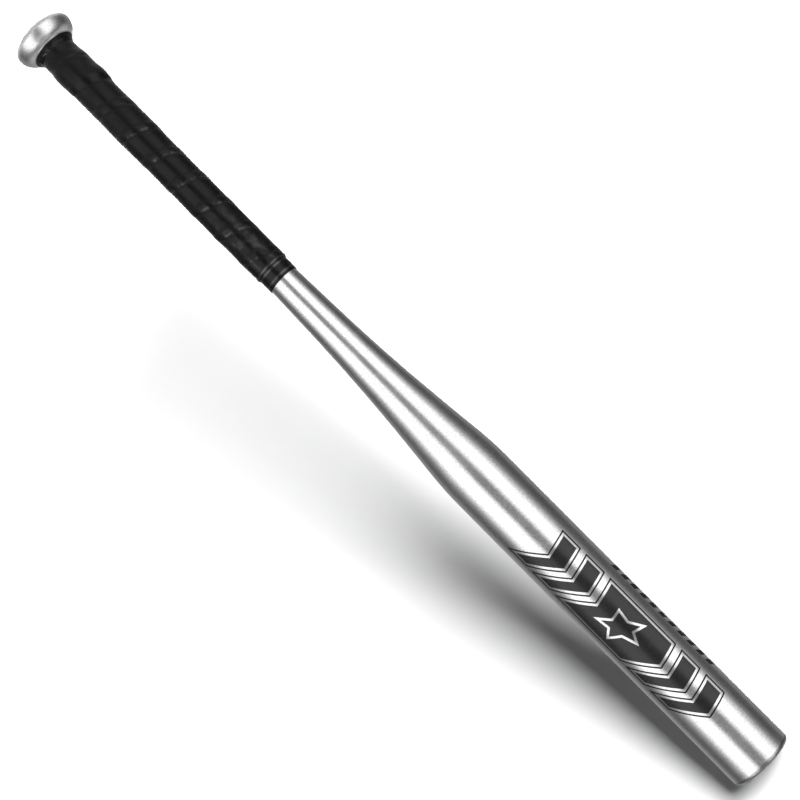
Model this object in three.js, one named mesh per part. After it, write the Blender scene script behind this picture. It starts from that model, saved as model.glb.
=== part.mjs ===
// One-piece alloy baseball bat, standing upright on its barrel end.
// Millimetres, +Z up. The origin is the centre of the barrel end face and +Z runs up the
// bat's axis to the knob. Every piece is turned about that axis.

import * as THREE from 'three';

// Driving dimensions
const TOTAL_LENGTH = 812.8;      // 32 in
const BARREL_RADIUS = 27;
const HANDLE_RADIUS = 13.3;
const BARREL_WALL = 1.6;
const HANDLE_WALL = 2.4;         // swaging the tube down thickens its wall
const KNOB_RADIUS = 26.5;
const FIT_GAP = 0.3;             // clearance left between touching pieces

// Stations along the axis
const KNEE_HEIGHT = 318.8;       // the straight barrel ends here
const TAPER_END = 525;           // the taper has run out into the handle
const TAPE_TOP = 538;
const COLLAR_START = 783.2;
const KNOB_SEAT = 793.1;         // the knob's underside
const TUBE_END = 800;            // the handle tube stops inside the knob

const SIDES = 40;                // facets round every piece

// The taper is one cubic curve, given by its slope and reach at each end.
const KNEE_SLOPE = 0.11;
const KNEE_REACH = 100;
const HANDLE_SLOPE = 0.03;
const HANDLE_REACH = 70;
const TAPER_STEPS = 9;

// Barrel end
const END_CORNER = 3.5;
const MOUTH_RADIUS = 20;
const CAP_FLANGE_HEIGHT = 4.2;
const CAP_SKIRT_HEIGHT = 24;
const CAP_SKIRT_WALL = 2.4;
const FOAM_DISC_THICKNESS = 25;

// Grip
const BACKING_THICKNESS = 0.4;
const TAPE_THICKNESS = 0.4;
const WRAP_TURNS = 8;
const WRAP_THIN = 0.55;          // just past an overlap
const WRAP_OVERLAP = 0.95;       // at an overlap
const WRAP_SWELL = 1.0;          // extra thickness of the starting turns by the knob
const SWELL_START = 742;

// Knob
const KNOB_NECK_RADIUS = 19.4;
const KNOB_RIM_HEIGHT = 805.3;   // where the knob is widest
const KNOB_WALL = 3.2;
const KNOB_CAVITY_TOP = 808.6;
const VENT_RADIUS = 3;
const VENT_RECESS_RADIUS = 5.5;
const VENT_RECESS_DEPTH = 1.2;
const WELD_LEG = 3.8;

const point = (radius, height) => new THREE.Vector2(radius, height);

// Points on a round corner, from one angle to another in degrees.
function corner(centreRadius, centreHeight, size, from, to, steps) {
  const points = [];
  for (let i = 0; i <= steps; i += 1) {
    const angle = THREE.MathUtils.degToRad(from + ((to - from) * i) / steps);
    points.push(point(centreRadius + size * Math.cos(angle), centreHeight + size * Math.sin(angle)));
  }
  return points;
}

function curve(start, startHandle, endHandle, end, steps) {
  return new THREE.CubicBezierCurve(start, startHandle, endHandle, end).getPoints(steps);
}

// A ring or disc turned from its outline. A ring's outline runs counter-clockwise and closes on
// itself; a disc's starts and ends on the axis.
function turned(name, outline, material) {
  const onAxis = outline[0].x === 0;
  const points = onAxis ? outline : [...outline, outline[0].clone()];
  const mesh = new THREE.Mesh(new THREE.LatheGeometry(points, SIDES), material);
  mesh.geometry.rotateX(Math.PI / 2);
  mesh.name = name;
  return mesh;
}

function finish(color, roughness, metalness) {
  return new THREE.MeshStandardMaterial({ color, roughness, metalness });
}

// A plain sleeve round the handle.
function sleeve(name, inner, outer, bottom, top, material) {
  const outline = [point(inner, bottom), point(outer, bottom), point(outer, top), point(inner, top)];
  return turned(name, outline, material);
}

function taper(kneeRadius, handleRadius, steps) {
  return curve(
    point(kneeRadius, KNEE_HEIGHT),
    point(kneeRadius - KNEE_SLOPE * KNEE_REACH, KNEE_HEIGHT + KNEE_REACH),
    point(handleRadius + HANDLE_SLOPE * HANDLE_REACH, TAPER_END - HANDLE_REACH),
    point(handleRadius, TAPER_END),
    steps,
  );
}

// One swaged tube: rolled-in end lip, straight barrel, taper and handle.
function batShell() {
  const innerBarrel = BARREL_RADIUS - BARREL_WALL;
  const innerHandle = HANDLE_RADIUS - HANDLE_WALL;
  const innerCorner = END_CORNER - BARREL_WALL;
  const outline = [
    point(MOUTH_RADIUS, 0),
    ...corner(BARREL_RADIUS - END_CORNER, END_CORNER, END_CORNER, -90, 0, 5),
    ...taper(BARREL_RADIUS, HANDLE_RADIUS, TAPER_STEPS),
    point(HANDLE_RADIUS, TUBE_END),
    point(innerHandle, TUBE_END),
    ...taper(innerBarrel, innerHandle, TAPER_STEPS).reverse(),
    ...corner(innerBarrel - innerCorner, END_CORNER, innerCorner, 0, -90, 2),
    point(MOUTH_RADIUS, BARREL_WALL),
  ];
  return turned('bat_shell', outline, finish(0xd2d3d5, 0.28, 1));
}

// Moulded cap in the barrel's mouth. Its barbed flange sits behind the rolled lip and its skirt
// reaches up the barrel. The outer face is flat and flush with the lip.
function endCap() {
  const face = MOUTH_RADIUS - FIT_GAP;
  const skirt = BARREL_RADIUS - BARREL_WALL - FIT_GAP;
  const behindLip = BARREL_WALL + FIT_GAP;
  const outline = [
    point(0, 0),
    point(face, 0),
    point(face, behindLip),
    point(skirt - END_CORNER + BARREL_WALL, behindLip),
    point(skirt, CAP_FLANGE_HEIGHT),
    point(skirt, CAP_SKIRT_HEIGHT),
    point(skirt - CAP_SKIRT_WALL, CAP_SKIRT_HEIGHT),
    point(skirt - CAP_SKIRT_WALL, CAP_FLANGE_HEIGHT + 1),
    point(0, CAP_FLANGE_HEIGHT),
  ];
  return turned('end_cap', outline, finish(0x24252a, 0.55, 0));
}

function barrelFoamDisc() {
  const radius = BARREL_RADIUS - BARREL_WALL - FIT_GAP;
  const bottom = CAP_SKIRT_HEIGHT + FIT_GAP;
  const top = bottom + FOAM_DISC_THICKNESS;
  const outline = [point(0, bottom), point(radius, bottom), point(radius, top), point(0, top)];
  return turned('barrel_foam_disc', outline, finish(0xc9c6bb, 0.95, 0));
}

function handleFoamPlug() {
  const radius = HANDLE_RADIUS - HANDLE_WALL - FIT_GAP;
  const outline = [point(0, 750), point(radius, 750), point(radius, 785), point(0, 785)];
  return turned('handle_foam_plug', outline, finish(0xc9c6bb, 0.95, 0));
}

// Hollow knob with a seat bored for the handle tube and a vent hole in its end face.
function knob() {
  const bore = HANDLE_RADIUS + FIT_GAP;
  const inner = KNOB_RADIUS - KNOB_WALL;
  const recessFloor = TOTAL_LENGTH - VENT_RECESS_DEPTH;
  const outline = [
    point(bore, KNOB_SEAT),
    ...curve(
      point(KNOB_NECK_RADIUS, KNOB_SEAT),
      point(KNOB_NECK_RADIUS + 3.9, KNOB_SEAT + 2.4),
      point(KNOB_RADIUS, KNOB_RIM_HEIGHT - 6),
      point(KNOB_RADIUS, KNOB_RIM_HEIGHT),
      6,
    ),
    ...curve(
      point(KNOB_RADIUS, KNOB_RIM_HEIGHT),
      point(KNOB_RADIUS, KNOB_RIM_HEIGHT + 3.4),
      point(19, TOTAL_LENGTH),
      point(VENT_RECESS_RADIUS, TOTAL_LENGTH),
      7,
    ).slice(1),
    point(VENT_RECESS_RADIUS, recessFloor),
    point(VENT_RADIUS, recessFloor),
    point(VENT_RADIUS, KNOB_CAVITY_TOP),
    ...curve(
      point(inner - 9, KNOB_CAVITY_TOP),
      point(inner - 3, KNOB_CAVITY_TOP),
      point(inner, KNOB_RIM_HEIGHT + 1),
      point(inner, KNOB_RIM_HEIGHT - 1),
      3,
    ),
    point(KNOB_NECK_RADIUS - 1, KNOB_SEAT + KNOB_WALL),
    point(bore, KNOB_SEAT + KNOB_WALL),
  ];
  return turned('knob', outline, finish(0xcfd0d2, 0.3, 1));
}

// Fillet of weld metal in the corner between the handle tube and the knob's underside.
function knobWeld() {
  const inner = HANDLE_RADIUS + FIT_GAP;
  const top = KNOB_SEAT - FIT_GAP;
  const outline = [
    point(inner, top - WELD_LEG),
    ...curve(
      point(inner + 0.4, top - WELD_LEG),
      point(inner + 1, top - 1.6),
      point(inner + 1.6, top - 1),
      point(inner + WELD_LEG, top - 0.4),
      3,
    ),
    point(inner + WELD_LEG, top),
    point(inner, top),
  ];
  return turned('knob_weld', outline, finish(0xb4b5b8, 0.5, 1));
}

// Rubber plug that closes the knob's vent hole, with a barb behind the wall.
function ventPlug() {
  const headBottom = TOTAL_LENGTH - VENT_RECESS_DEPTH + FIT_GAP;
  const stem = VENT_RADIUS - FIT_GAP;
  const barbTop = KNOB_CAVITY_TOP - FIT_GAP;
  const outline = [
    point(0, barbTop - 3),
    point(stem - 1, barbTop - 3),
    point(VENT_RADIUS + 0.8, barbTop),
    point(stem, barbTop),
    point(stem, headBottom),
    point(VENT_RECESS_RADIUS - FIT_GAP, headBottom),
    point(VENT_RECESS_RADIUS - FIT_GAP, TOTAL_LENGTH - 0.3),
    point(VENT_RECESS_RADIUS - 1.2, TOTAL_LENGTH),
    point(0, TOTAL_LENGTH),
  ];
  return turned('vent_plug', outline, finish(0x1c1c1e, 0.7, 0));
}

// Cushioned underlay that the wrap is wound on.
function gripBacking() {
  const inner = HANDLE_RADIUS + FIT_GAP;
  const top = KNOB_SEAT - FIT_GAP - WELD_LEG - FIT_GAP;
  const bottom = TAPE_TOP + FIT_GAP;
  return sleeve('grip_backing', inner, inner + BACKING_THICKNESS, bottom, top, finish(0x3a3a3c, 0.95, 0));
}

// The wound strip as one sleeve: each turn is thick where it laps the last and thins towards
// the next, and the starting turns by the knob are thicker again.
function gripWrap() {
  const inner = HANDLE_RADIUS + FIT_GAP + BACKING_THICKNESS + FIT_GAP;
  const bottom = TAPE_TOP + FIT_GAP;
  const top = COLLAR_START - FIT_GAP;
  const pitch = (top - bottom) / WRAP_TURNS;
  const swell = (height) => (height > SWELL_START ? WRAP_SWELL : 0);
  const outline = [point(inner, bottom)];
  for (let turn = 0; turn < WRAP_TURNS; turn += 1) {
    const low = bottom + turn * pitch;
    const high = low + pitch;
    outline.push(point(inner + WRAP_THIN + swell(low + 2), low + (turn ? 1 : 0)));
    outline.push(point(inner + WRAP_OVERLAP + swell(high - 2), high));
  }
  outline.push(point(inner, top));
  return turned('grip_wrap', outline, finish(0x141415, 0.5, 0));
}

// Flared start of the grip, drawn up over the weld on to the knob's underside.
function knobCollar() {
  const top = KNOB_SEAT - FIT_GAP;
  const inner = HANDLE_RADIUS + FIT_GAP + BACKING_THICKNESS + FIT_GAP;
  const outer = inner + 1.2;
  const outline = [
    point(inner, COLLAR_START),
    ...curve(
      point(outer, COLLAR_START),
      point(outer + 0.2, COLLAR_START + 4),
      point(outer + 1, COLLAR_START + 6.6),
      point(KNOB_NECK_RADIUS - FIT_GAP, top),
      5,
    ),
    point(HANDLE_RADIUS + FIT_GAP + WELD_LEG + FIT_GAP, top),
    point(inner + 0.8, top - WELD_LEG + 0.3),
    point(inner, top - WELD_LEG - 1),
  ];
  return turned('knob_collar', outline, finish(0x161617, 0.45, 0));
}

function finishTape() {
  const inner = HANDLE_RADIUS + FIT_GAP;
  return sleeve('finish_tape', inner, inner + TAPE_THICKNESS, TAPER_END, TAPE_TOP, finish(0x0e0e0f, 0.35, 0));
}

const bat = new THREE.Group();
bat.add(
  batShell(),
  endCap(),
  barrelFoamDisc(),
  handleFoamPlug(),
  knob(),
  knobWeld(),
  ventPlug(),
  gripBacking(),
  gripWrap(),
  knobCollar(),
  finishTape(),
);

export default bat;
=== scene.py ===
"""Looks of the alloy baseball bat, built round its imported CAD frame. Metres, +Z up the bat."""

import math

import bmesh
import bpy
from mathutils import Matrix, Vector


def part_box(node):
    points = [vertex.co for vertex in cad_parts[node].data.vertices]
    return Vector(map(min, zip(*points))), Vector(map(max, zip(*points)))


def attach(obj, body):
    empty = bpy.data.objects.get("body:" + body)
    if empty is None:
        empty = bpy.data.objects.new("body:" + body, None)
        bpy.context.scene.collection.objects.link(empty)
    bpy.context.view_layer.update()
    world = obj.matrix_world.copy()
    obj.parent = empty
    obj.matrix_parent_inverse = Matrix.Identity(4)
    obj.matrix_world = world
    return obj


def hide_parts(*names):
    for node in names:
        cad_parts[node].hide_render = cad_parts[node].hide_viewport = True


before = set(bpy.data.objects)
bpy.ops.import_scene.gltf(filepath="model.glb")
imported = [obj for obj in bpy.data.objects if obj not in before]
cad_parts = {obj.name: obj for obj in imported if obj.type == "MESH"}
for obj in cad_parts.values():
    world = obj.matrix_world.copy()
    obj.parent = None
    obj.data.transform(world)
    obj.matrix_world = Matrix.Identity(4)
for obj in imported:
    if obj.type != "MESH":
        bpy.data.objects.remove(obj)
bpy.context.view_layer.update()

MM = 0.001
TAU = 2 * math.pi


# ---------------------------------------------------------------- sizes from the frame

shell_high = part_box("bat_shell")[1]
knob_low, knob_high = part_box("knob")
wrap_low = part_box("grip_wrap")[0]
collar_low, collar_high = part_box("knob_collar")
tape_low, tape_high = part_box("finish_tape")
cap_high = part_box("end_cap")[1]
plug_low, plug_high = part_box("vent_plug")

BARREL_RADIUS = shell_high.x
KNOB_RADIUS = knob_high.x
HANDLE_RADIUS = tape_high.x - 0.7 * MM     # the CAD's tape is 0.4 thick and 0.3 off the tube
BARREL_WALL = 1.6 * MM
HANDLE_WALL = 2.4 * MM
FIT_GAP = 0.3 * MM

# The taper, as in the CAD: one cubic curve with a slope and a reach at each end.
KNEE_HEIGHT = 318.8 * MM
TAPER_END = tape_low.z
KNEE_SLOPE, KNEE_REACH = 0.11, 100 * MM
HANDLE_SLOPE, HANDLE_REACH = 0.03, 70 * MM

KNEE_BLEND = 14 * MM                       # the knee is eased over this much to each side
END_CORNER = 3.5 * MM
MOUTH_RADIUS = 20 * MM


# ---------------------------------------------------------------- camera

EYE = Vector((0, -1.289, 0.2645))
AIM = Vector((-0.0016, 0, 0.3923))
LENS = 74.2
# Which way the bat's upward direction points for the camera, as (right, up).
BAT_UP = Vector((-0.70512, 0.70907))


def make_camera():
    """Looks slightly up at the bat from in front, rolled so that it lies along the diagonal."""
    data = bpy.data.cameras.new("camera")
    data.lens = LENS
    camera = bpy.data.objects.new("camera", data)
    bpy.context.scene.collection.objects.link(camera)
    back = (EYE - AIM).normalized()
    level = Vector((0, 0, 1)).cross(back).normalized()
    upward = back.cross(level)
    right = level * BAT_UP.y + upward * BAT_UP.x
    up = upward * BAT_UP.y - level * BAT_UP.x
    camera.matrix_world = Matrix.Translation(EYE) @ Matrix((right, up, back)).transposed().to_4x4()
    bpy.context.scene.camera = camera


make_camera()


# ---------------------------------------------------------------- node helpers


def new_material(name):
    material = bpy.data.materials.new(name)
    material.use_nodes = True
    tree = material.node_tree
    return material, tree, tree.nodes["Principled BSDF"]


def add(tree, kind, **settings):
    node = tree.nodes.new(kind)
    for key, value in settings.items():
        setattr(node, key, value)
    return node


def feed(tree, value, socket):
    """Gives a socket a plain value or another node's output."""
    if isinstance(value, (int, float, tuple)):
        socket.default_value = value
    else:
        tree.links.new(value, socket)


def math_node(tree, operation, first, second=0.0):
    node = add(tree, "ShaderNodeMath", operation=operation)
    for socket, value in zip(node.inputs, (first, second)):
        feed(tree, value, socket)
    return node.outputs[0]


def times(tree, first, second):
    return math_node(tree, "MULTIPLY", first, second)


def blend(tree, factor, first, second, blend_type="MIX"):
    """Mixes two colours."""
    node = add(tree, "ShaderNodeMix", data_type="RGBA", blend_type=blend_type)
    colours = [socket for socket in node.inputs if socket.type == "RGBA"]
    for value, socket in zip((factor, first, second), (node.inputs[0], *colours)):
        feed(tree, value, socket)
    return next(socket for socket in node.outputs if socket.type == "RGBA")


def own_places(tree):
    """The piece's own coordinates, in metres."""
    return add(tree, "ShaderNodeTexCoord").outputs["Object"]


def axes(tree, places):
    """The x, y and z of a vector."""
    split = add(tree, "ShaderNodeSeparateXYZ")
    tree.links.new(places, split.inputs[0])
    return split.outputs


def stretched(tree, scale):
    """The piece's own coordinates, scaled per axis: a small scale draws the pattern out."""
    mapping = add(tree, "ShaderNodeMapping")
    mapping.inputs["Scale"].default_value = scale
    tree.links.new(own_places(tree), mapping.inputs["Vector"])
    return mapping.outputs["Vector"]


def noise(tree, scale, detail=3.0, roughness=0.6):
    """Noise value; scale is per metre, one number or one for each axis."""
    node = add(tree, "ShaderNodeTexNoise")
    node.inputs["Scale"].default_value = 1.0
    node.inputs["Detail"].default_value = detail
    node.inputs["Roughness"].default_value = roughness
    scales = scale if isinstance(scale, tuple) else (scale,) * 3
    tree.links.new(stretched(tree, scales), node.inputs["Vector"])
    return node.outputs["Fac"]


def cells(tree, feature, scale):
    """Voronoi cells over the piece's own coordinates, as many to the metre as scale says."""
    node = add(tree, "ShaderNodeTexVoronoi", feature=feature)
    node.inputs["Scale"].default_value = scale
    tree.links.new(own_places(tree), node.inputs["Vector"])
    return node


def remap(tree, value, low, high, out_low, out_high):
    node = add(tree, "ShaderNodeMapRange")
    tree.links.new(value, node.inputs["Value"])
    numbers = (low, high, out_low, out_high)
    for key, number in zip(("From Min", "From Max", "To Min", "To Max"), numbers):
        node.inputs[key].default_value = number
    return node.outputs["Result"]


def ramp(tree, value, stops):
    """Colour ramp through grey or coloured stops, each (place, grey or (r, g, b))."""
    node = add(tree, "ShaderNodeValToRGB")
    elements = node.color_ramp.elements
    while len(elements) < len(stops):
        elements.new(0.5)
    for element, (place, colour) in zip(elements, stops):
        element.position = place
        colour = colour if isinstance(colour, tuple) else (colour,) * 3
        element.color = (*colour, 1)
    tree.links.new(value, node.inputs["Fac"])
    return node.outputs["Color"]


def bump(tree, height, distance, strength=1.0, under=None):
    node = add(tree, "ShaderNodeBump")
    node.inputs["Strength"].default_value = strength
    node.inputs["Distance"].default_value = distance
    tree.links.new(height, node.inputs["Height"])
    if under is not None:
        tree.links.new(under, node.inputs["Normal"])
    return node.outputs["Normal"]


# ---------------------------------------------------------------- materials


def satin_metal(name, tint, roughness, along, around, wear=0.0, shaded_rim=0.0):
    """Bare aluminium. The grain is drawn out along Z or round the axis by its two scales. wear is
    the strength of its scuffs. Below the height given as the last argument the colour is darkened,
    a painted shade for the dark reflection and shade along the rounded rim at the barrel end."""
    material, tree, shader = new_material(name)
    shader.inputs["Metallic"].default_value = 1.0
    grain = noise(tree, (around, around, along), detail=4, roughness=0.7)
    cloud = noise(tree, 55, detail=4)
    speck = noise(tree, 900, detail=2)
    lightness = math_node(tree, "ADD", times(tree, grain, 0.5), times(tree, cloud, 0.5))
    dark = tuple(0.9 * channel for channel in tint)
    mottle = remap(tree, noise(tree, 760, detail=3, roughness=0.75), 0.3, 0.7, 0.76, 1.18)
    if shaded_rim:
        height = axes(tree, own_places(tree))[2]
        # Painted shade: the colour goes darker towards the barrel end, below the top of the rim's
        # round.
        rim_shade = remap(tree, height, 0.95 * shaded_rim, 1.3 * shaded_rim, 0.45, 1.0)
        mottle = times(tree, mottle, rim_shade)
    shade = ramp(tree, lightness, ((0.3, dark), (0.62, tint)))
    tree.links.new(blend(tree, 1.0, shade, mottle, "MULTIPLY"), shader.inputs["Base Color"])
    uneven = 0.03
    gloss = math_node(
        tree, "ADD",
        remap(tree, cloud, 0.3, 0.7, roughness - uneven, roughness + uneven),
        remap(tree, grain, 0.3, 0.7, -uneven, uneven),
    )
    tree.links.new(gloss, shader.inputs["Roughness"])
    relief = bump(tree, grain, 0.000005)
    relief = bump(tree, speck, 0.000006, under=relief)
    if wear:
        scuff = add(tree, "ShaderNodeTexVoronoi", feature="DISTANCE_TO_EDGE")
        scuff.inputs["Scale"].default_value = 1.0
        tree.links.new(stretched(tree, (26, 26, 9)), scuff.inputs["Vector"])
        line = remap(tree, scuff.outputs["Distance"], 0.0, 0.0025, 1.0, 0.0)
        sparse = remap(tree, noise(tree, 31, detail=1), 0.62, 0.68, 0.0, wear)
        relief = bump(tree, times(tree, line, sparse), -0.00002, under=relief)
    tree.links.new(relief, shader.inputs["Normal"])
    return material


def grip_leather(name, roughness):
    """Smooth black PU leather: fine pores, faint creases across the strip, and lap edges that
    handling has polished."""
    material, tree, shader = new_material(name)
    polish = add(tree, "ShaderNodeAttribute", attribute_name="rubbed").outputs["Fac"]
    pores = cells(tree, "SMOOTH_F1", 1500)
    pores.inputs["Smoothness"].default_value = 0.6
    blotch = noise(tree, 140, detail=4)
    creases = noise(tree, (260, 260, 70), detail=3, roughness=0.55)
    tree.links.new(ramp(tree, blotch, ((0.32, 0.0035), (0.7, 0.0065))), shader.inputs["Base Color"])
    gloss = remap(tree, blotch, 0.3, 0.7, roughness + 0.04, roughness - 0.05)
    tree.links.new(math_node(tree, "SUBTRACT", gloss, times(tree, polish, 0.12)),
                   shader.inputs["Roughness"])
    patches = remap(tree, noise(tree, 140, detail=3), 0.47, 0.6, 0.0, 1.2)
    shine = times(tree, polish, patches)
    tree.links.new(remap(tree, shine, 0.0, 1.0, 0.22, 0.75), shader.inputs["Specular IOR Level"])
    relief = bump(tree, pores.outputs["Distance"], 0.00004, strength=0.35)
    relief = bump(tree, creases, 0.0004, strength=0.5, under=relief)
    tree.links.new(relief, shader.inputs["Normal"])
    return material


def finish_vinyl():
    """Stretched vinyl tape: fine ripples run round the bat, and its ridges are rubbed shiny."""
    material, tree, shader = new_material("finish_vinyl")
    polish = add(tree, "ShaderNodeAttribute", attribute_name="rubbed").outputs["Fac"]
    ripple = noise(tree, (30, 30, 900), detail=3)
    dust = noise(tree, 400, detail=3)
    tree.links.new(ramp(tree, dust, ((0.35, 0.003), (0.75, 0.006))), shader.inputs["Base Color"])
    gloss = remap(tree, dust, 0.3, 0.7, 0.17, 0.25)
    tree.links.new(math_node(tree, "SUBTRACT", gloss, times(tree, polish, 0.09)),
                   shader.inputs["Roughness"])
    tree.links.new(remap(tree, polish, 0.0, 1.0, 0.27, 1.0), shader.inputs["Specular IOR Level"])
    tree.links.new(times(tree, polish, 0.6), shader.inputs["Coat Weight"])
    tree.links.new(bump(tree, ripple, 0.00006, strength=0.6), shader.inputs["Normal"])
    return material


def print_ink(name, tone, roughness, gloss):
    """Screen-printed ink with a fine orange peel and a cloudy variation in tone and gloss."""
    material, tree, shader = new_material(name)
    shader.inputs["Specular IOR Level"].default_value = gloss
    peel = noise(tree, 1300, detail=2)
    cloud = noise(tree, 90, detail=4)
    shade = ramp(tree, cloud, ((0.3, 0.8 * tone), (0.7, 1.25 * tone)))
    tree.links.new(shade, shader.inputs["Base Color"])
    tree.links.new(remap(tree, cloud, 0.3, 0.7, roughness - 0.04, roughness + 0.05),
                   shader.inputs["Roughness"])
    tree.links.new(bump(tree, peel, 0.000006), shader.inputs["Normal"])
    return material


def moulded(name, tone, roughness, grain, depth):
    """Moulded plastic or rubber with a spark-eroded grain."""
    material, tree, shader = new_material(name)
    fine = noise(tree, grain, detail=4)
    cloud = noise(tree, 60, detail=3)
    shade = ramp(tree, cloud, ((0.3, 0.8 * tone), (0.7, 1.2 * tone)))
    tree.links.new(shade, shader.inputs["Base Color"])
    tree.links.new(remap(tree, fine, 0.3, 0.7, roughness - 0.06, roughness + 0.06),
                   shader.inputs["Roughness"])
    tree.links.new(bump(tree, fine, depth), shader.inputs["Normal"])
    return material


def cellular(name, light, dark, scale):
    """Open foam or felt: pits darker than the walls between them, a painted shade in the hollows.
    """
    material, tree, shader = new_material(name)
    shader.inputs["Roughness"].default_value = 0.95
    pits = cells(tree, "F1", scale).outputs["Distance"]
    # Painted shade: the colour darkens into each pit.
    tree.links.new(ramp(tree, pits, ((0.15, dark), (0.6, light))), shader.inputs["Base Color"])
    tree.links.new(bump(tree, pits, 0.0005), shader.inputs["Normal"])
    return material


BARREL_METAL = satin_metal("satin_aluminium", (0.86, 0.86, 0.865), 0.2, along=14, around=1100,
                           wear=1.0, shaded_rim=END_CORNER)
KNOB_METAL = satin_metal("knob_aluminium", (0.83, 0.83, 0.835), 0.27, along=1600, around=40)
WELD_METAL = satin_metal("weld_aluminium", (0.6, 0.6, 0.62), 0.42, along=600, around=90)
WRAP_LEATHER = grip_leather("grip_leather", 0.24)
COLLAR_LEATHER = grip_leather("collar_leather", 0.22)
TAPE_VINYL = finish_vinyl()
FILL_INK = print_ink("charcoal_ink", 0.016, 0.24, 0.5)
LINE_INK = print_ink("black_ink", 0.004, 0.4, 0.25)
CAP_POLYMER = moulded("cap_polymer", 0.022, 0.55, 1800, 0.00003)
PLUG_RUBBER = moulded("plug_rubber", 0.014, 0.62, 1200, 0.00004)
FOAM = cellular("damping_foam", (0.62, 0.6, 0.54), (0.3, 0.29, 0.26), 700)
FELT = cellular("backing_felt", (0.05, 0.05, 0.052), (0.02, 0.02, 0.021), 2200)


# ---------------------------------------------------------------- mesh helpers

SMOOTH_ANGLE = math.radians(32)
SAME_POINT = 1e-7        # points nearer than this are one


def piece(name, points, faces, material, slot=None, replaced=(), rubbed=None):
    """A finished mesh piece that rides on the bat. rubbed says how polished each point is."""
    mesh = bpy.data.meshes.new(name)
    mesh.from_pydata([tuple(map(float, p)) for p in points], [], faces)
    if rubbed:
        mesh.attributes.new("rubbed", "FLOAT", "POINT").data.foreach_set("value", rubbed)
    tidy = bmesh.new()
    tidy.from_mesh(mesh)
    bmesh.ops.remove_doubles(tidy, verts=tidy.verts, dist=SAME_POINT)
    bmesh.ops.recalc_face_normals(tidy, faces=tidy.faces)
    tidy.to_mesh(mesh)
    tidy.free()
    mesh.polygons.foreach_set("use_smooth", [True] * len(mesh.polygons))
    mesh.set_sharp_from_angle(angle=SMOOTH_ANGLE)
    mesh.materials.append(material)
    obj = bpy.data.objects.new(name, mesh)
    bpy.context.scene.collection.objects.link(obj)
    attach(obj, "root")
    if replaced:
        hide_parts(*replaced)
    return obj


def around(radius, azimuth, height):
    """Azimuth 0 faces the camera side, -Y, and grows towards +X."""
    return (radius * math.sin(azimuth), -radius * math.cos(azimuth), height)


def turned(name, outline, material, sides=192, shift=None, polish=None, **links):
    """A turned piece. The outline's (radius, height) points run from axis to axis, or close on
    themselves. shift(azimuth, radius, height) may move a point off round, and polish(height)
    says how rubbed it is."""
    on_axis = outline[0][0] == 0
    rows = outline[1:-1] if on_axis else outline
    points = []
    for radius, height in rows:
        for side in range(sides):
            azimuth = TAU * side / sides
            at = shift(azimuth, radius, height) if shift else (radius, height)
            points.append(around(at[0], azimuth, at[1]))
    faces = []
    pairs = len(rows) - 1 if on_axis else len(rows)
    for row in range(pairs):
        low, high = row * sides, (row + 1) % len(rows) * sides
        for side in range(sides):
            other = (side + 1) % sides
            faces.append((low + side, low + other, high + other, high + side))
    if on_axis:
        for end, row in ((outline[0], 0), (outline[-1], len(rows) - 1)):
            points.append((0, 0, end[1]))
            for side in range(sides):
                other = (side + 1) % sides
                faces.append((len(points) - 1, row * sides + side, row * sides + other))
    rubbed = [polish(point[2]) for point in points] if polish else None
    return piece(name, points, faces, material, rubbed=rubbed, **links)


def corner(radius, height, size, start, end, steps):
    """Points on a round corner about (radius, height); angles in degrees."""
    angles = [math.radians(start + (end - start) * i / steps) for i in range(steps + 1)]
    return [(radius + size * math.cos(a), height + size * math.sin(a)) for a in angles]


def cubic(a, b, c, d, steps):
    """Points on the Bezier curve from a to d, pulled towards b and c."""
    found = []
    for i in range(steps + 1):
        t = i / steps
        weights = ((1 - t) ** 3, 3 * (1 - t) ** 2 * t, 3 * (1 - t) * t * t, t ** 3)
        found.append(tuple(sum(w * p[k] for w, p in zip(weights, (a, b, c, d))) for k in (0, 1)))
    return found


def smooth(low, high, value):
    """0 up to low, 1 from high on, and a soft step between them."""
    t = min(1.0, max(0.0, (value - low) / (high - low)))
    return t * t * (3 - 2 * t)


def hump(value, middle, spread):
    """1 at the middle, fading out to both sides."""
    return math.exp(-((value - middle) / spread) ** 2)


# ---------------------------------------------------------------- shell, end cap, plugs


def taper(knee_radius, handle_radius, steps):
    """The long taper's outline, from the barrel's knee to the handle."""
    return cubic(
        (knee_radius, KNEE_HEIGHT),
        (knee_radius - KNEE_SLOPE * KNEE_REACH, KNEE_HEIGHT + KNEE_REACH),
        (handle_radius + HANDLE_SLOPE * HANDLE_REACH, TAPER_END - HANDLE_REACH),
        (handle_radius, TAPER_END),
        steps,
    )


def knee(radius, reach, joint, after):
    """Eases the barrel into the taper, which goes on from the point joint to the point after."""
    slope = (joint[0] - after[0]) / (after[1] - joint[1])
    hold = 0.7 * (joint[1] - KNEE_HEIGHT)
    return cubic(
        (radius, KNEE_HEIGHT - reach),
        (radius, KNEE_HEIGHT - 0.3 * reach),
        (joint[0] + slope * hold, joint[1] - hold),
        joint,
        14,
    )[:-1]


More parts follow.
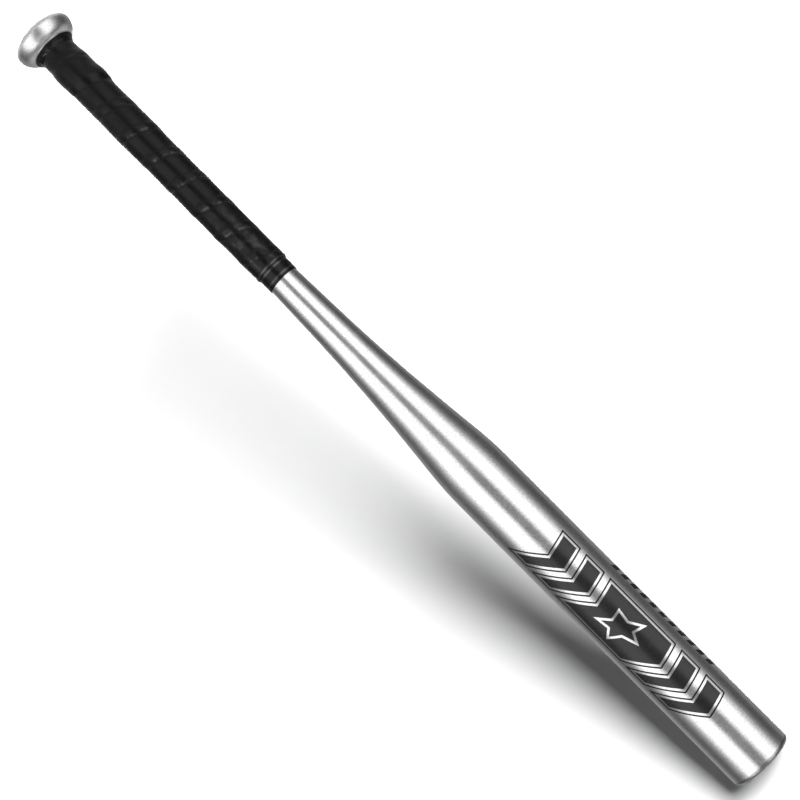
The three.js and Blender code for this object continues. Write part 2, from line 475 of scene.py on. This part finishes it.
def make_shell():
    top = shell_high.z
    inner_barrel = BARREL_RADIUS - BARREL_WALL
    inner_handle = HANDLE_RADIUS - HANDLE_WALL
    inner_corner = END_CORNER - BARREL_WALL
    lip_chamfer = 0.4 * MM
    outer = [p for p in taper(BARREL_RADIUS, HANDLE_RADIUS, 64) if p[1] > KNEE_HEIGHT + KNEE_BLEND]
    outline = [
        (MOUTH_RADIUS + lip_chamfer, 0),
        *corner(BARREL_RADIUS - END_CORNER, END_CORNER, END_CORNER, -90, 0, 16),
        *knee(BARREL_RADIUS, KNEE_BLEND, *outer[:2]),
        *outer,
        (HANDLE_RADIUS, top),
        (inner_handle, top),
        *reversed(taper(inner_barrel, inner_handle, 24)),
        *corner(inner_barrel - inner_corner, END_CORNER, inner_corner, 0, -90, 6),
        (MOUTH_RADIUS, BARREL_WALL),
        (MOUTH_RADIUS, lip_chamfer),
    ]
    turned("bat_tube", outline, BARREL_METAL, sides=256,
           slot="satin_aluminium", replaced=("bat_shell",))


def make_end_cap():
    """A moulded cap with two grooved rings on its face and a ribbed skirt behind the lip."""
    face = cap_high.x - 5.4 * MM
    skirt = cap_high.x
    wall = 2.4 * MM
    flange = 4.2 * MM
    behind_lip = BARREL_WALL + FIT_GAP
    face_edge = 0.4 * MM
    grooves = [
        (ring + out * MM, depth * MM)
        for ring in (9 * MM, 14 * MM)
        for out, depth in ((0, 0), (0.3, 0.35), (0.9, 0.35), (1.2, 0))
    ]
    ribs = [
        (skirt - inward * MM, flange + (along + 3 * rib) * MM)
        for rib in range(6)
        for inward, along in ((0, 0.6), (0, 2.2), (0.5, 2.5), (0.5, 3.3))
    ]
    outline = [
        (0, 0),
        *grooves,
        *corner(face - face_edge, face_edge, face_edge, -90, 0, 4),
        (face, behind_lip),
        (skirt - END_CORNER + BARREL_WALL, behind_lip),
        (skirt, flange),
        *ribs,
        (skirt - 0.6 * MM, cap_high.z),
        (skirt - wall, cap_high.z),
        (skirt - wall, flange + 1.4 * MM),
        (skirt - wall - 1 * MM, flange + 0.6 * MM),
        (0, flange),
    ]
    turned("barrel_end_cap", outline, CAP_POLYMER, slot="cap_polymer", replaced=("end_cap",))


def make_foam(name, node):
    """A cut foam disc or plug: soft edges and a slightly uneven skin."""
    low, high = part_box(node)
    radius, edge = high.x - 0.1 * MM, 1.2 * MM
    rows = [(radius, low.z + edge + (high.z - low.z - 2 * edge) * i / 12) for i in range(13)]
    rings = [radius * i / 8 for i in range(1, 8)]
    outline = [
        (0, low.z),
        *[(ring, low.z) for ring in rings if ring < radius - edge],
        *corner(radius - edge, low.z + edge, edge, -90, 0, 4)[:-1],
        *rows,
        *corner(radius - edge, high.z - edge, edge, 0, 90, 4)[1:],
        *[(ring, high.z) for ring in reversed(rings) if ring < radius - edge],
        (0, high.z),
    ]

    def uneven(azimuth, at, height):
        waves = math.sin(7 * azimuth + 900 * height) * math.sin(11 * azimuth - 400 * height)
        dent = 0.5 + 0.5 * waves
        rise = 0.15 * MM * math.sin(5 * azimuth) if at < radius - edge else 0
        return at * (1 - 0.012 * dent), height + rise

    foam = turned(name, outline, FOAM, sides=96, shift=uneven,
                  slot="damping_foam", replaced=(node,))


def make_knob():
    """A hollow knob: neck, flare, domed end and a vent hole with a recess for its plug."""
    seat, top = knob_low.z, knob_high.z
    bore = HANDLE_RADIUS + FIT_GAP
    neck = 19.4 * MM
    wall = 3.2 * MM
    rim_height = top - 7.5 * MM
    cavity_top = top - 4.2 * MM
    inner = KNOB_RADIUS - wall
    vent, recess, recess_floor = 3 * MM, 5.5 * MM, top - 1.2 * MM
    lip = 0.7 * MM
    outline = [
        (bore, seat),
        *corner(neck - lip, seat + lip, lip, -90, -20, 5),
        *cubic((neck + 0.1 * MM, seat + lip), (neck + 3.9 * MM, seat + 2.4 * MM),
               (KNOB_RADIUS, rim_height - 6 * MM), (KNOB_RADIUS, rim_height), 28)[1:],
        *cubic((KNOB_RADIUS, rim_height), (KNOB_RADIUS, rim_height + 3.4 * MM),
               (19 * MM, top), (recess + 0.5 * MM, top), 30)[1:],
        (recess, top - 0.3 * MM),
        (recess, recess_floor),
        (vent, recess_floor),
        (vent, cavity_top),
        *cubic((inner - 9 * MM, cavity_top), (inner - 3 * MM, cavity_top),
               (inner, rim_height + 1 * MM), (inner, rim_height - 1 * MM), 8),
        (neck - 1 * MM, seat + wall),
        (bore, seat + wall),
    ]
    turned("bat_knob", outline, KNOB_METAL, sides=224,
           slot="knob_aluminium", replaced=("knob",))


def make_vent_plug():
    """A push-in rubber plug with a barb and a dished head."""
    head = plug_high.x
    top, bottom = plug_high.z, plug_low.z
    stem = 2.7 * MM
    head_floor = top - 0.9 * MM
    dish = top - 0.3 * MM
    outline = [
        (0, bottom),
        *corner(stem - 1.4 * MM, bottom + 0.4 * MM, 0.4 * MM, -90, 0, 3),
        (3.8 * MM, bottom + 2.7 * MM),
        *corner(3.6 * MM, bottom + 2.8 * MM, 0.2 * MM, 0, 90, 2),
        (stem, bottom + 3 * MM),
        (stem, head_floor),
        (head, head_floor),
        *corner(head - 0.6 * MM, top - 0.75 * MM, 0.6 * MM, 0, 80, 6),
        (head * 0.55, top - 0.04 * MM),
        (head * 0.5, dish),
        (head * 0.2, dish),
        (0, dish),
    ]
    turned("knob_vent_plug", outline, PLUG_RUBBER, sides=64,
           slot="plug_rubber", replaced=("vent_plug",))


make_shell()
make_end_cap()
make_foam("barrel_foam", "barrel_foam_disc")
make_foam("handle_foam", "handle_foam_plug")
make_knob()
make_vent_plug()
for node, material in (("knob_weld", WELD_METAL), ("grip_backing", FELT)):
    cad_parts[node].material_slots[0].material = material


# ---------------------------------------------------------------- grip

WRAP_BASE = 14.25 * MM                    # radius that the strip is wound on
STRIP_PITCH = 28.2 * MM
STRIP_WIDTH = 34.2 * MM
STRIP_THICKNESS = 0.8 * MM
SKIVED = 0.2 * MM                         # the hidden edge is pared thin
LAP = STRIP_WIDTH - STRIP_PITCH
SEAM = 745.3 * MM                         # height of one turn's showing edge, facing -Y
DOUBLED_END = 749.3 * MM                  # where the doubled turns by the knob stop, facing -Y
WRAP_BOTTOM = wrap_low.z + 0.3 * MM
WRAP_TOP = collar_low.z + 6 * MM
COLUMNS_PER_TURN = 128
# Where the strip's cross-section has its points, from the showing edge to the hidden one.
STRIP_PLACES = [y * MM for y in (
    0, 0.06, 0.2, 0.45, 0.8, 1.2, 1.6, 2.0, 2.5, 3.2, 4.4, 5.6, 6.6, 7.6, 8.8, 10.2,
    13, 16.5, 20, 23, 25.2,
)]
STRIP_PLACES += [STRIP_PITCH + y * MM for y in (0, 0.4, 0.8, 1.2, 1.6)]
STRIP_PLACES += [STRIP_WIDTH - 0.1 * MM, STRIP_WIDTH]


def under_wrap(azimuth, height):
    """Radius of what lies under the strip: tube and backing, thicker towards the knob and doubled
    over the starting turns, with the small lumps of hand winding."""
    facing = math.remainder(azimuth, TAU)
    step = DOUBLED_END - STRIP_PITCH * facing / TAU
    radius = WRAP_BASE + 0.35 * MM * smooth(600 * MM, 740 * MM, height)
    radius += 0.35 * MM * hump(height, 697 * MM, 15 * MM)
    # The doubled turns: a crisp, proud step on the +X side, eased away on the other.
    back = smooth(0.72 * math.pi, math.pi, abs(facing))
    toward_x = 0.5 + 0.5 * math.cos(facing - 0.5 * math.pi)
    ease = (2.2 + 7 * (1 - toward_x)) * MM
    doubled = smooth(step - ease, step + ease, height)
    radius += (1.05 - 0.5 * back) * MM * doubled * (1 - smooth(770 * MM, 782 * MM, height))
    radius += 0.9 * MM * toward_x ** 2 * hump(height, 752 * MM, 6 * MM) * doubled
    lump = math.sin(2 * azimuth + 130 * height) * math.sin(71 * height + 1.1)
    lump += 0.6 * math.sin(3 * azimuth - 205 * height + 0.7)
    radius += 0.11 * MM * lump
    return radius - 0.15 * MM * (1 - smooth(WRAP_BOTTOM, WRAP_BOTTOM + 6 * MM, height))


def strip_section(azimuth, edge_height):
    """One closed section of the strip: out over the outer face, back along the inner one. y is
    measured from the edge that shows, which faces the barrel, across to the hidden edge. Gives
    the points and how rubbed each one is."""
    first = max(0.0, WRAP_BOTTOM - edge_height)
    last = min(STRIP_WIDTH, WRAP_TOP - edge_height)
    full = STRIP_THICKNESS - SKIVED
    points, rubbed = [], []
    ys = [min(max(y, first), last) for y in STRIP_PLACES]
    for outer in (1, 0):
        for y in ys if outer else reversed(ys):
            height = edge_height + y
            covered = SKIVED + full * (1 - smooth(0, 1.6 * MM, y)) + 0.02 * MM
            lift = covered * (1 - smooth(LAP, LAP + 3 * MM, y))
            thin = smooth(WRAP_BOTTOM - 1 * MM, WRAP_BOTTOM + 5 * MM, height) * 0.6 + 0.4
            pared = smooth(STRIP_PITCH, STRIP_PITCH + 1.6 * MM, y)
            body = SKIVED + full * (1 - pared)
            body *= 0.1 + 0.1 * smooth(0, 0.2 * MM, y) + 0.8 * smooth(0, 2 * MM, y)
            pucker = 0.05 * MM * math.sin(9 * azimuth) * math.exp(-y / (4 * MM))
            radius = under_wrap(azimuth, height) + lift * thin
            points.append(around(radius + outer * (body * thin + pucker), azimuth, height))
            held = 1 - 0.85 * smooth(672 * MM, 705 * MM, height)
            handled = 0.45 * (1 - smooth(550 * MM, 620 * MM, height))
            rubbed.append(max(handled, held * (1 - smooth(1.6 * MM, 3.6 * MM, y))))
    return points, rubbed


def make_wrap():
    """The strip, wound up the handle with each turn lapping the next one's hidden edge. Both ends
    are cut along the grip's square ends, under the collar and the tape."""
    tip = 1.5 * MM
    start_edge = WRAP_TOP - tip
    end_edge = WRAP_BOTTOM - STRIP_WIDTH + tip
    start = -TAU * (start_edge - SEAM) / STRIP_PITCH
    end = TAU * (SEAM - end_edge) / STRIP_PITCH
    columns = round((end - start) / TAU * COLUMNS_PER_TURN)
    points, rubbed, faces, size = [], [], [], 0
    for column in range(columns + 1):
        turn = start + (end - start) * column / columns
        section, marks = strip_section(turn, SEAM - STRIP_PITCH * turn / TAU)
        size = len(section)
        points += section
        rubbed += marks
    for column in range(columns):
        base = column * size
        for i in range(size):
            j = (i + 1) % size
            faces.append((base + i, base + j, base + size + j, base + size + i))
    faces.append(tuple(range(size)))
    faces.append(tuple(range(columns * size, (columns + 1) * size)))
    wrap = piece("wound_grip", points, faces, WRAP_LEATHER, slot="grip_leather",
                 replaced=("grip_wrap",), rubbed=rubbed)


def make_collar():
    """The grip's flared start: a cone up on to the knob's neck. Its cut edge stands proud on one
    side and runs out smoothly on the other, and a soft fold goes round it."""
    bottom, top = collar_low.z + 2.8 * MM, collar_high.z
    edge = 15.2 * MM
    outer = [
        *corner(edge - 0.35 * MM, bottom + 0.35 * MM, 0.35 * MM, -90, -10, 5),
        *cubic((edge + 0.05 * MM, bottom + 0.6 * MM), (edge + 0.5 * MM, bottom + 2.4 * MM),
               (17 * MM, top - 2.8 * MM), (18.9 * MM, top - 0.6 * MM), 22),
        *corner(18.8 * MM, top - 0.3 * MM, 0.3 * MM, 10, 90, 4),
    ]
    outline = [*outer, (17.7 * MM, top), (14.6 * MM, top - 3 * MM), (14.5 * MM, bottom)]

    def folded(azimuth, radius, height):
        facing = abs(math.remainder(azimuth + 0.5 * math.pi, TAU))
        fold = 1 - smooth(0.9, 1.5, facing)
        low = 1 - smooth(bottom + 0.6 * MM, top, height)
        ripple = 0.07 * MM * math.sin(5 * azimuth + 0.4) * smooth(bottom, top, height)
        crease = 0.4 * MM * hump(height, 788.5 * MM, 0.8 * MM)
        lifted = height + 3.3 * MM * fold * low
        if radius < 14.8 * MM or height > top - 0.05 * MM:
            return radius, lifted
        return radius + 1.3 * MM * fold * low + ripple + crease, lifted

    def polish(height):
        return hump(height, 789 * MM, 1.2 * MM)

    turned("grip_flare", outline, COLLAR_LEATHER, sides=160, shift=folded, polish=polish,
           slot="grip_leather", replaced=("knob_collar",))


def make_tape():
    """Vinyl tape round the end of the wrap: two turns on the tube, then up on to the wrap."""
    bottom, step, top = tape_low.z, tape_high.z, tape_high.z + 3.2 * MM
    inner = HANDLE_RADIUS + 0.12 * MM
    ridges = (bottom + 3.1 * MM, step - 1.8 * MM, step + 1.2 * MM)

    def ridge_at(height):
        return max(hump(height, ridge, 0.75 * MM) for ridge in ridges)

    def outside(height):
        climb = smooth(step - 1.3 * MM, step + 1.5 * MM, height)
        return 14.02 * MM + 1.15 * MM * climb + 0.09 * MM * ridge_at(height)

    rows = 72
    heights = [bottom + 0.2 * MM + (top - bottom - 0.4 * MM) * i / rows for i in range(rows + 1)]
    outline = [
        (inner, bottom),
        *corner(13.92 * MM, bottom + 0.1 * MM, 0.1 * MM, -90, 0, 3),
        *[(outside(height), height) for height in heights],
        *corner(15.07 * MM, top - 0.1 * MM, 0.1 * MM, 0, 90, 3),
        (14.98 * MM, top),
        (14.98 * MM, step + 1.7 * MM),
        (inner, step - 1.4 * MM),
    ]

    def hand_laid(azimuth, radius, height):
        slant = 0.25 * MM * math.sin(azimuth - 0.6) + 0.06 * MM * math.sin(3 * azimuth)
        swell = 0.05 * MM * math.sin(4 * azimuth + 900 * height) if radius > 13.7 * MM else 0
        return radius + swell, height + slant

    turned("end_tape", outline, TAPE_VINYL, sides=160, shift=hand_laid, polish=ridge_at,
           slot="finish_vinyl", replaced=("finish_tape",))


make_wrap()
make_collar()
make_tape()


# ---------------------------------------------------------------- printed decoration

PANEL_AZIMUTH = math.radians(-10)
PRINT_SLANT = 0.45
INK_BOTTOM, INK_TOP = 0.015 * MM, 0.06 * MM
KEYLINE = 1.2 * MM
SILVER_LINE = 1.9 * MM
CUT_EVERY = 1.0 * MM     # the flat print is cut this finely, to bend round the barrel
# Each chevron's tip and stroke, measured up the barrel.
CHEVRONS = [(tip * MM, stroke * MM) for tip, stroke in (
    (55, 20), (80.5, 20), (106, 70), (181.5, 20), (207, 20),
)]
BADGE = 2                # the chevron that carries the star
DASH_AZIMUTH = math.radians(72)
DASH_COUNT = 11


def chevron(tip, half_width, rise, stroke):
    """A V that points down the barrel, in (across, along) coordinates."""
    return [(0, tip), (half_width, tip + rise), (half_width, tip + rise + stroke),
            (0, tip + stroke), (-half_width, tip + rise + stroke), (-half_width, tip + rise)]


def star(middle, half_width, half_length):
    """A bold five-pointed star whose first point faces the barrel end."""
    found = []
    for i in range(10):
        angle = -math.pi / 2 + TAU * i / 10
        reach = 1.0 if i % 2 == 0 else 0.5
        found.append((half_width * reach * math.cos(angle),
                      middle + half_length * reach * math.sin(angle)))
    return found


def inset(outline, distance):
    """The outline moved inwards all round, with mitred corners. It runs anticlockwise."""
    found = []
    for i, (x, y) in enumerate(outline):
        (x0, y0), (x1, y1) = outline[i - 1], outline[(i + 1) % len(outline)]
        a = Vector((x - x0, y - y0)).normalized()
        b = Vector((x1 - x, y1 - y)).normalized()
        left_a, left_b = Vector((-a.y, a.x)), Vector((-b.y, b.x))
        mitre = (left_a + left_b) / (1 + left_a.dot(left_b))
        found.append((x + distance * mitre.x, y + distance * mitre.y))
    return found


def print_on_barrel(name, regions, azimuth, material):
    """Lays flat regions on the barrel as one thin film. A region is a list of outlines in
    (across, along) coordinates, the first its edge and any others holes in it."""
    film = bmesh.new()
    for outlines in regions:
        edges = []
        for outline in outlines:
            corners = [film.verts.new((x, y, 0)) for x, y in outline]
            edges += [film.edges.new((corners[i - 1], corners[i])) for i in range(len(corners))]
        bmesh.ops.triangle_fill(film, edges=edges, use_beauty=True, use_dissolve=False)
    reach = max(abs(v.co.x) for v in film.verts)
    cuts = math.ceil(reach / CUT_EVERY)
    for cut in range(-cuts, cuts + 1):
        everything = [*film.verts, *film.edges, *film.faces]
        bmesh.ops.bisect_plane(film, geom=everything, plane_co=(cut * CUT_EVERY, 0, 0),
                               plane_no=(1, 0, 0))
    bmesh.ops.triangulate(film, faces=film.faces)
    film.verts.index_update()
    flat = [(v.co.x, v.co.y) for v in film.verts]
    count = len(flat)
    tops = [tuple(v.index for v in face.verts) for face in film.faces]
    rims = [(e.verts[0].index, e.verts[1].index) for e in film.edges if e.is_boundary]
    film.free()
    points = []
    for height in (INK_BOTTOM, INK_TOP):
        points += [around(BARREL_RADIUS + height, azimuth + x / BARREL_RADIUS, y) for x, y in flat]
    faces = tops + [tuple(i + count for i in reversed(face)) for face in tops]
    faces += [(a, b, b + count, a + count) for a, b in rims]
    piece(name, points, faces, material)


def slanted(outline):
    """Sheared, so that the print leans like lettering along the barrel."""
    return [(x, y - PRINT_SLANT * x) for x, y in outline]


def make_prints():
    """Five chevrons down the barrel, the long middle one with a star in it: each a charcoal shape
    inside a bare silver line and a black keyline. A row of slanted dashes runs further round."""
    half, rise = 22.5 * MM, 15 * MM
    outlines = [slanted(chevron(tip, half, rise, stroke)) for tip, stroke in CHEVRONS]
    badge_star = slanted(star(149 * MM, 16.5 * MM, 19.5 * MM))
    lines = [[outline, inset(outline, KEYLINE)] for outline in outlines]
    fills = [[inset(outline, KEYLINE + SILVER_LINE)] for outline in outlines]
    fills[BADGE].append(badge_star)
    fills.append([inset(badge_star, SILVER_LINE)])
    print_on_barrel("print_keylines", lines, PANEL_AZIMUTH, LINE_INK)
    print_on_barrel("print_fills", fills, PANEL_AZIMUTH, FILL_INK)
    dashes = []
    half, stroke = 4.5 * MM, 5.6 * MM
    for i in range(DASH_COUNT):
        low = (79 + 10 * i) * MM
        high = low + stroke
        dashes.append([slanted([(-half, low), (half, low), (half, high), (-half, high)])])
    print_on_barrel("print_dashes", dashes, DASH_AZIMUTH, LINE_INK)


make_prints()


# ---------------------------------------------------------------- studio

FLOOR_REACH = 60.0
SHEET_LEAN = math.radians(25)
SHEET_TURN = math.radians(10)
SHEET_FOOT = BARREL_RADIUS + 1.5 * MM    # the sheet passes just behind the barrel end
SHEET_TONE, FLOOR_TONE = 0.45, 0.9
BOX_LEAN = 0.16          # the boxes lean, so that their feet stand left of the camera's line
# Brightness round the bat at the height of the boxes. Angle 0 is -Y, the printed side.
BOX_TONES = (
    (-180, 1.0), (-172, 1.0), (-163, 0.3), (-142, 0.3), (-120, 0.12), (-104, 0.12), (-88, 0.27),
    (-76, 0.65), (-62, 1.42), (53, 1.42), (67, 0.65), (80, 0.25), (94, 0.1), (116, 0.09),
    (140, 0.24), (163, 0.24), (172, 1.0), (180, 1.0),
)
GAP_TONE = 0.18          # of the dark gap between the two boxes
# Brightness below and above the boxes, and where it takes over from theirs: 0 is straight down.
CAP_TONES = ((0.0, 0.52), (0.14, 0.5), (0.6, 0.55), (0.78, 0.66), (0.95, 0.62), (1.0, 0.6))
CAP_REACH = ((0.01, 1.0), (0.03, 0.0), (0.64, 0.0), (0.725, 1.0))
FILL_LIGHT = (0.16, 0.16, 0.16, 1)       # what matt surfaces get from the world
BACKDROP = (1.0, 1.0, 1.0, 1)


def flat_stage(name, corners, tone, one_sided=False):
    """A flat pale part of the studio. It has no part in reflections."""
    mesh = bpy.data.meshes.new(name)
    mesh.from_pydata(corners, [], [tuple(range(len(corners)))])
    obj = bpy.data.objects.new(name, mesh)
    bpy.context.scene.collection.objects.link(obj)
    material, tree, shader = new_material(name + "_paper")
    shader.inputs["Roughness"].default_value = 0.9
    shader.inputs["Specular IOR Level"].default_value = 0.0
    shade = ramp(tree, noise(tree, 3, detail=2), ((0.2, 0.99 * tone), (0.8, tone)))
    tree.links.new(shade, shader.inputs["Base Color"])
    if one_sided:
        mix = add(tree, "ShaderNodeMixShader")
        clear = add(tree, "ShaderNodeBsdfTransparent")
        tree.links.new(add(tree, "ShaderNodeNewGeometry").outputs["Backfacing"], mix.inputs[0])
        tree.links.new(shader.outputs[0], mix.inputs[1])
        tree.links.new(clear.outputs[0], mix.inputs[2])
        tree.links.new(mix.outputs[0], tree.nodes["Material Output"].inputs["Surface"])
    mesh.materials.append(material)
    obj.visible_glossy = False
    return obj


def make_floors():
    """The pale sheet that the bat is shown over, leaning away from its handle and clear from the
    back, and the level floor that carries on behind it and under the bat's foot."""
    across = Vector((math.cos(SHEET_TURN), -math.sin(SHEET_TURN), 0))
    away = Vector((math.sin(SHEET_TURN), math.cos(SHEET_TURN), 0))
    up = away * math.sin(SHEET_LEAN) + Vector((0, 0, math.cos(SHEET_LEAN)))
    foot = Vector((0, SHEET_FOOT, 0))
    sheet = flat_stage("sheet", [
        foot + FLOOR_REACH * (side * across + end * up)
        for side, end in ((-1, -1), (1, -1), (1, 1), (-1, 1))
    ], SHEET_TONE, one_sided=True)
    sheet.visible_shadow = False
    under = BARREL_RADIUS - 6 * MM
    floor = flat_stage("floor", [
        foot + side * across + back * away for side, back in (
            (-FLOOR_REACH, 0), (-under, 0), (-under, -SHEET_FOOT), (under, -SHEET_FOOT),
            (under, 0), (FLOOR_REACH, 0), (FLOOR_REACH, FLOOR_REACH), (-FLOOR_REACH, FLOOR_REACH))
    ], FLOOR_TONE)
    return sheet, floor


def make_world():
    """Two tall soft boxes with a dark gap between them, dark flats beside them and a narrower
    box behind the bat. Only reflections see them: matt surfaces get an even fill light."""
    world = bpy.data.worlds.new("studio")
    bpy.context.scene.world = world
    world.use_nodes = True
    tree = world.node_tree
    x, y, z = axes(tree, add(tree, "ShaderNodeTexCoord").outputs["Generated"])
    forward = times(tree, y, -1.0)
    lean = times(tree, math_node(tree, "SUBTRACT", 0.26, z), BOX_LEAN)
    side = math_node(tree, "ADD", x, times(tree, lean, forward))
    turn = math_node(tree, "DIVIDE", math_node(tree, "ARCTAN2", side, forward), TAU)
    off_centre = math_node(tree, "ABSOLUTE", turn)
    boxes = ramp(tree, math_node(tree, "ADD", turn, 0.5),
                 [(0.5 + angle / 360, tone) for angle, tone in BOX_TONES])
    # The gap widens towards its foot, and lets some light back in below.
    width = math_node(tree, "SUBTRACT", 1.22, times(tree, z, 0.75))
    inside = math_node(tree, "DIVIDE", off_centre, width)
    gap = remap(tree, inside, 9 / 360, 20 / 360, GAP_TONE, 1.0)
    gap = math_node(tree, "MAXIMUM", gap, remap(tree, z, -0.28, -0.5, 0.0, 0.33))
    boxes = times(tree, boxes, gap)
    boxes = times(tree, boxes, remap(tree, z, -0.78, -0.92, 1.0, 0.3))
    level = times(tree, math_node(tree, "ADD", z, 1.0), 0.5)
    caps = ramp(tree, level, CAP_TONES)
    # Behind the bat the flats end early, so that the lower part is open there.
    beside = remap(tree, off_centre, 95 / 360, 130 / 360, 0.0, 1.0)
    below = times(tree, beside, remap(tree, z, -0.3, -0.6, 0.0, 1.0))
    outside = math_node(tree, "MAXIMUM", ramp(tree, level, CAP_REACH), below)
    path = add(tree, "ShaderNodeLightPath").outputs
    colour = blend(tree, outside, boxes, caps)
    colour = blend(tree, path["Is Diffuse Ray"], colour, FILL_LIGHT)
    colour = blend(tree, path["Is Camera Ray"], colour, BACKDROP)
    tree.links.new(colour, tree.nodes["Background"].inputs["Color"])


def make_key(name, receiver, azimuth, elevation, width, energy):
    """A soft sun from the camera's side that lights one part of the studio and throws the bat's
    shadow on it. The boxes light the bat. Angles in degrees."""
    data = bpy.data.lights.new(name, "SUN")
    data.energy = energy
    data.angle = math.radians(width)
    key = bpy.data.objects.new(name, data)
    bpy.context.scene.collection.objects.link(key)
    azimuth, elevation = math.radians(azimuth), math.radians(elevation)
    toward = Vector((math.sin(azimuth) * math.cos(elevation),
                     -math.cos(azimuth) * math.cos(elevation), math.sin(elevation)))
    key.rotation_euler = toward.to_track_quat("Z", "Y").to_euler()
    key.visible_glossy = False
    receivers = bpy.data.collections.new(name + "_receivers")
    receivers.objects.link(receiver)
    key.light_linking.receiver_collection = receivers


make_world()
sheet, floor = make_floors()
make_key("sheet_key", sheet, azimuth=22.5, elevation=17, width=24, energy=9.5)
make_key("floor_key", floor, azimuth=4.2, elevation=5, width=5, energy=38)
bpy.context.scene.view_settings.view_transform = "Standard"
